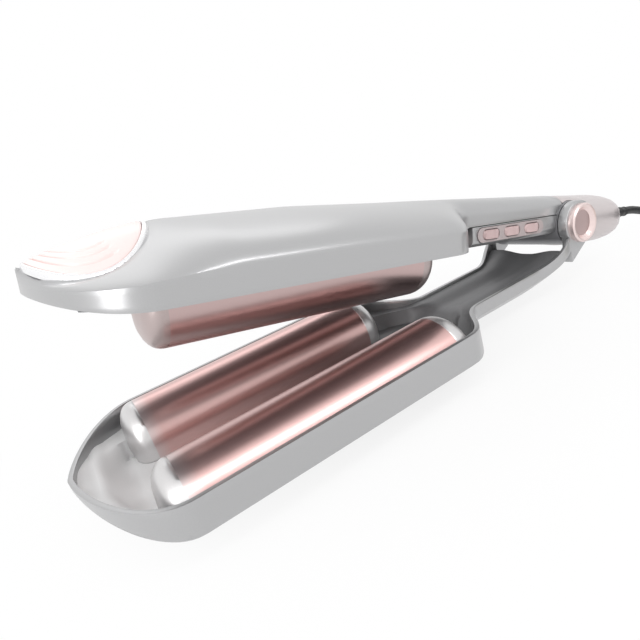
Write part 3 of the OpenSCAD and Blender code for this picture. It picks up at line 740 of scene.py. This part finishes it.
def smoothRoute(route, pieces):
    # a curve through the route's points, as in the part's source
    points = []
    for i in range(len(route) - 1):
        a = route[max(i - 1, 0)]
        b, c = route[i], route[i + 1]
        d = route[min(i + 2, len(route) - 1)]
        for k in range(pieces):
            t = k / pieces
            points.append(0.5 * ((2 * b) + (c - a) * t + (2 * a - 5 * b + 4 * c - d) * t * t
                                 + (3 * b - a - 3 * c + d) * t ** 3))
    return points + [route[-1]]


def coilPoints(values):
    step = values["diameter"] + values["turnGap"]
    layerHeight = values["diameter"] + values["layerGap"]
    outer = values["innerRadius"] + step * values["turns"]
    layerAngle = 360 * values["turns"]
    count = int(values["layers"] * values["turns"] * values["ringsPerTurn"])
    points = []
    for i in range(count + 1):
        a = (360 * i - 0.001) / values["ringsPerTurn"]
        layer = math.floor(a / layerAngle)
        rest = a - layer * layerAngle
        inward = layer % 2 == 0
        radius = outer - step * rest / 360 if inward else values["innerRadius"] + step * rest / 360
        rise = sum(min(max((a - k * layerAngle) / 180 + 0.5, 0), 1) for k in (1, 2, 3))
        near = above(math.cos(math.radians(a - values["tieAngle"]))) ** 6
        lift = (values["tieThickness"] + 2 * values["tieGap"]) * near
        height = values["diameter"] / 2 + layerHeight * rise + lift
        points.append(Vector((values["coilX"] + radius * math.sin(math.radians(a)),
                              values["coilY"] + radius * math.cos(math.radians(a)), height)))
    return points


reliefZ = (upperTop(arm["rearLength"]) + cordValues["housingUnder"]) / 2
reliefEnd = arm["rearLength"] - cordValues["reliefInset"] + cordValues["reliefCollar"] \
    + cordValues["reliefLength"]
exitPoint = swing((reliefEnd, 0, reliefZ)) / mm
exitWay = Vector((math.cos(arm["openAngle"]), 0, -math.sin(arm["openAngle"])))
coil = coilPoints(cordValues)
coilEntry = coil[0] - Vector((cordValues["diameter"], 0, 0))
coilFinish = coil[-1] - Vector((cordValues["diameter"], 0, 0))
runRoute = [exitPoint, exitPoint + 8 * exitWay, Vector((160, -1, 4)), Vector((168, -3, 2.4)),
            coilEntry - Vector((8, 0, 0)), coilEntry - Vector((4, 0, 0)), coilEntry]
endRoute = [coilFinish, coilFinish - Vector((4, 0, 0))] + [Vector(p) for p in (
    (170, -62.6, 13), (162, -63.4, 11.4), (154, -64.4, 9.6), (146, -65.4, 8.4), (138, -66, 8),
    (130, -66, 8))]
cordPath = [p * mm for p in smoothRoute(runRoute, 4)[:-1] + [coilEntry] + coil
            + smoothRoute(endRoute, 4)]


def tubeTree(name):
    # sweeps a round profile along the object's curve
    tree = bpy.data.node_groups.new(name, "GeometryNodeTree")
    tree.interface.new_socket("Geometry", in_out="INPUT", socket_type="NodeSocketGeometry")
    radius = tree.interface.new_socket("Radius", in_out="INPUT", socket_type="NodeSocketFloat")
    sides = tree.interface.new_socket("Sides", in_out="INPUT", socket_type="NodeSocketInt")
    material = tree.interface.new_socket("Material", in_out="INPUT", socket_type="NodeSocketMaterial")
    tree.interface.new_socket("Geometry", in_out="OUTPUT", socket_type="NodeSocketGeometry")
    start = tree.nodes.new("NodeGroupInput")
    end = tree.nodes.new("NodeGroupOutput")
    circle = tree.nodes.new("GeometryNodeCurvePrimitiveCircle")
    sweep = tree.nodes.new("GeometryNodeCurveToMesh")
    sweep.inputs["Fill Caps"].default_value = True
    realize = tree.nodes.new("GeometryNodeRealizeInstances")
    finish = tree.nodes.new("GeometryNodeSetMaterial")
    tree.links.new(start.outputs["Radius"], circle.inputs["Radius"])
    tree.links.new(start.outputs["Sides"], circle.inputs["Resolution"])
    tree.links.new(start.outputs["Geometry"], sweep.inputs["Curve"])
    tree.links.new(circle.outputs["Curve"], sweep.inputs["Profile Curve"])
    tree.links.new(sweep.outputs["Mesh"], realize.inputs["Geometry"])
    tree.links.new(realize.outputs["Geometry"], finish.inputs["Geometry"])
    tree.links.new(start.outputs["Material"], finish.inputs["Material"])
    tree.links.new(finish.outputs["Geometry"], end.inputs["Geometry"])
    return tree, {"Radius": radius.identifier, "Sides": sides.identifier,
                  "Material": material.identifier}


def makeTube(name, path, radius, sides, material):
    curve = bpy.data.curves.new(name + "Path", "CURVE")
    curve.dimensions = "3D"
    line = curve.splines.new("POLY")
    line.points.add(len(path) - 1)
    for spot, p in zip(line.points, path):
        spot.co = (*p, 1)
    carrier = bpy.data.objects.new(name + "Path", curve)
    bpy.context.scene.collection.objects.link(carrier)
    tree, sockets = tubeTree(name + "Tree")
    sweep = carrier.modifiers.new("sweep", "NODES")
    sweep.node_group = tree
    sweep[sockets["Radius"]] = radius
    sweep[sockets["Sides"]] = sides
    sweep[sockets["Material"]] = material
    bpy.context.view_layer.update()
    graph = bpy.context.evaluated_depsgraph_get()
    mesh = bpy.data.meshes.new_from_object(carrier.evaluated_get(graph))
    bpy.data.objects.remove(carrier)
    return link(name, outward(mesh), material, 50)


mainsCord = makeTube("mainsCord", cordPath, cordValues["diameter"] / 2 * mm, cordValues["sides"],
                     cordRubber)
cordLength = sum((b - a).length for a, b in zip(cordPath, cordPath[1:]))
print("cord length", round(cordLength, 3))
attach(mainsCord, "upper_arm")
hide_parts("cord_run", "cord_coil", "cord_end")
print("stage: cord")

# floor, lights and background
studioValues = {
    "floor": (0.86, 0.86, 0.86), "floorReach": 60.0,
    "glowNear": 0.9, "glowRise": 1.5, "glowFrom": 0.1,
    "sky": [(0.0, (0.20, 0.20, 0.203)), (0.3, (0.07, 0.07, 0.072)), (1.0, (0.22, 0.22, 0.225))],
    "skyBoxes": (2.6, 2.6, 2.6), "skyMatt": (0.68, 0.68, 0.68), "white": (1.0, 1.0, 1.0),
}

# place, point it faces, size and power of each lamp
lampValues = {
    "keyBox": ((-0.10, -0.42, 0.62), (-0.02, 0, 0.04), (1.2, 0.09), 2.2),
    "fillBox": ((-0.75, -0.25, 0.30), (-0.08, 0, 0.05), (0.35, 0.4), 2.2),
    "backBox": ((0.2, 0.7, 0.6), (0, 0, 0.03), (0.9, 0.2), 0.6),
}


def seenWhite(finish):
    # 1 for what the camera sees itself, or in metal or glass
    camera, glossy, through = [finish.node("LightPath", output=name) for name in
                               ("Is Camera Ray", "Is Glossy Ray", "Is Transmission Ray")]
    return (camera + glossy + through).clamped()


def makeFloor():
    # keeps the object's shadow, and turns white with the distance
    size = studioValues["floorReach"]
    corners = [(-size, -size, 0), (size, -size, 0), (size, size, 0), (-size, size, 0)]
    mesh = meshOf("studioFloor", corners, [(0, 1, 2, 3)])
    finish = Finish("floorPaper", {"Base Color": studioValues["floor"], "Roughness": 0.9})
    spot = finish.node("TexCoord", output=3)
    away = finish.node("VectorMath", {"operation": "LENGTH"}, {0: spot}, output=1)
    glowing = ((away - studioValues["glowFrom"]) * studioValues["glowRise"]
               + studioValues["glowNear"]).clamped()
    paper = Value(finish, finish.shader.outputs[0])
    glow = finish.node("Emission", {}, {"Strength": 1.0})
    shown = finish.node("MixShader", {}, {0: seenWhite(finish) * glowing, 1: paper, 2: glow})
    finish.feed(finish.tree.nodes["Material Output"].inputs["Surface"], shown)
    obj = link("studioFloor", mesh, finish.material)


# soft boxes of the sky: how sharply each begins, where, its height and how narrow it is
boxValues = {"front": (-3.0, 0.9, 0.56, 4), "left": (-4.0, 2.4, 0.25, 5), "right": (3.0, 1.5, 0.5, 4),
             "rightShare": 0.7}


def softBox(high, lean, steep, start, level, narrow):
    return (lean * steep - start).clamped() * (1.5 - (high - level).size() * narrow).clamped()


def makeWorld():
    # white where it is seen or mirrored, a soft sky where it lights matt surfaces
    world = bpy.data.worlds.new("studioWorld")
    bpy.context.scene.world = world
    world.use_nodes = True
    tree = world.node_tree
    tree.nodes.clear()
    sky = Finish("studioSky", tree=tree)
    way = sky.node("TexCoord")
    side, across, high = [sky.node("SeparateXYZ", {}, {"Vector": way}, output=i) for i in range(3)]
    front, left, right = [softBox(high, lean, *boxValues[name]) for name, lean in
                          (("front", across), ("left", side), ("right", side))]
    dark = sky.node("ValToRGB", {"stops": studioValues["sky"]}, {"Fac": high})
    boxes = (front + left + right * boxValues["rightShare"]).clamped()
    shine = sky.blend(boxes, dark, studioValues["skyBoxes"])
    matt = sky.node("LightPath", output="Is Diffuse Ray")
    light = sky.blend(matt, shine, studioValues["skyMatt"])
    colour = sky.blend(seenWhite(sky), light, studioValues["white"])
    room = sky.node("Background", {}, {"Color": colour})
    out = tree.nodes.new("ShaderNodeOutputWorld")
    tree.links.new(room.socket, out.inputs["Surface"])


def makeLamp(name):
    place, aim, size, power = lampValues[name]
    data = bpy.data.lights.new(name, "AREA")
    data.shape = "RECTANGLE"
    data.size, data.size_y = size
    data.energy = power
    lamp = bpy.data.objects.new(name, data)
    bpy.context.scene.collection.objects.link(lamp)
    lamp.location = place
    lamp.rotation_euler = (Vector(aim) - Vector(place)).to_track_quat("-Z", "Y").to_euler()


makeFloor()
makeWorld()
for lampName in lampValues:
    makeLamp(lampName)
print("stage: studio")

bpy.context.scene.view_settings.view_transform = "Standard"
